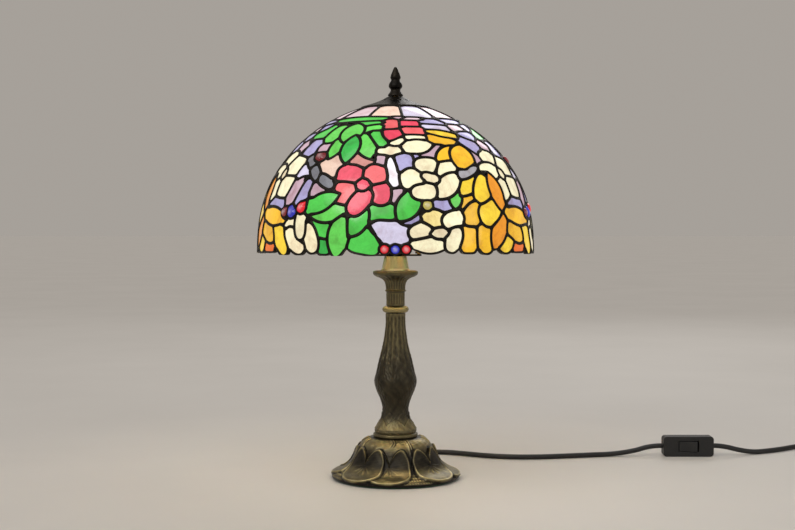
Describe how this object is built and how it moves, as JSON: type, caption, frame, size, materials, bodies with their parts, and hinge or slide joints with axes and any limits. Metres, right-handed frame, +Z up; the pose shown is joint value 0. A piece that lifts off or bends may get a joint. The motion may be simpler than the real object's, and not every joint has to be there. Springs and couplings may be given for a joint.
{
  "type": "table lamp",
  "caption": "Table lamp with a domed leaded-glass shade of flowers and leaves on a cast bronze column and foot, with a corded in-line switch.",
  "frame": {"origin": "centre of the felt pad's underside, where the lamp stands on the table", "axes": "+Z up the column; -Y is the front, with the rocker switch's face; +X is the lamp's right as seen from the front, the side the cord runs to"},
  "size_m": [0.7905, 0.3855, 0.4565],
  "materials": {
    "felt": "matt wool felt",
    "bronze": "antique bronze wash, dark in the recesses and rubbed olive-gold on the high spots",
    "dark_bronze": "dark bronze, satin",
    "brass": "lacquered, satin",
    "zinc_steel": "zinc plated",
    "nickel": "nickel plated",
    "bakelite": "moulded, semi-gloss",
    "porcelain": "glazed",
    "frosted_glass": "frosted, warm light",
    "cord_jacket": "smooth round sheath",
    "switch_plastic": "moulded, fine texture",
    "lilac_glass": "streaky opalescent sheet glass",
    "pink_glass": "opalescent sheet glass",
    "ivory_glass": "opalescent sheet glass",
    "green_glass": "opalescent sheet glass",
    "amber_glass": "opalescent sheet glass"
  },
  "bodies": {
    "lamp": {"felt_pad": "felt", "foot_casting": "bronze", "foot_washer": "zinc_steel", "foot_nut": "zinc_steel", "cord_relief": "cord_jacket", "threaded_tube": "zinc_steel", "foot_collar": "bronze", "column_casting": "bronze", "bead_ring": "bronze", "neck_casting": "bronze", "capital_casting": "bronze", "socket_cup": "bronze", "inner_flex": "cord_jacket", "harp_saddle": "brass", "harp_wire": "brass", "harp_stud": "brass", "holder_base": "bakelite", "holder_shell": "bakelite", "holder_insulator": "porcelain", "holder_screw_shell": "brass", "holder_contact": "brass", "switch_cover": "switch_plastic", "switch_base": "switch_plastic", "switch_screw": "zinc_steel", "cord_to_switch": "cord_jacket", "cord_to_coil": "cord_jacket", "cord_coil": "cord_jacket", "coil_tie": "switch_plastic", "plug_relief": "cord_jacket", "plug_body": "switch_plastic", "plug_pin_left": "nickel", "plug_pin_right": "nickel"},
    "shade": {"lilac_field_1": "lilac_glass", "pink_flower_1": "pink_glass", "ivory_flower_1": "ivory_glass", "green_leaves_1": "green_glass", "ivory_buds_1": "ivory_glass", "amber_leaves_1": "amber_glass", "lilac_field_2": "lilac_glass", "pink_flower_2": "pink_glass", "ivory_flower_2": "ivory_glass", "green_leaves_2": "green_glass", "ivory_buds_2": "ivory_glass", "amber_leaves_2": "amber_glass", "lilac_field_3": "lilac_glass", "pink_flower_3": "pink_glass", "ivory_flower_3": "ivory_glass", "green_leaves_3": "green_glass", "ivory_buds_3": "ivory_glass", "amber_leaves_3": "amber_glass", "crown_panes": "lilac_glass", "shade_wheel": "dark_bronze", "shade_cap": "dark_bronze"},
    "finial": {"finial": "dark_bronze"},
    "bulb": {"bulb_envelope": "frosted_glass", "bulb_cap": "nickel", "bulb_contact": "brass"},
    "rocker": {"switch_rocker": "switch_plastic"},
    "ferrule_left": {"harp_ferrule_left": "brass"},
    "ferrule_right": {"harp_ferrule_right": "brass"}
  },
  "joints": [
    {"name": "finial_turn", "type": "hinge", "parent": "lamp", "child": "finial", "pos_m": [0, 0, 0.43], "axis": [0, 0, 1], "continuous": true},
    {"name": "shade_turn", "type": "hinge", "parent": "lamp", "child": "shade", "pos_m": [0, 0, 0.405], "axis": [0, 0, 1], "continuous": true},
    {"name": "bulb_turn", "type": "hinge", "parent": "lamp", "child": "bulb", "pos_m": [0, 0, 0.285], "axis": [0, 0, 1], "continuous": true},
    {"name": "rocker_tilt", "type": "hinge", "parent": "lamp", "child": "rocker", "pos_m": [0.356, 0.137, 0.01235], "axis": [0, 0, 1], "range_deg": [0, 14]},
    {"name": "ferrule_left_lift", "type": "slide", "parent": "lamp", "child": "ferrule_left", "axis": [0, 0, 1], "range_m": [0, 0.012]},
    {"name": "ferrule_right_lift", "type": "slide", "parent": "lamp", "child": "ferrule_right", "axis": [0, 0, 1], "range_m": [0, 0.012]}
  ]
}
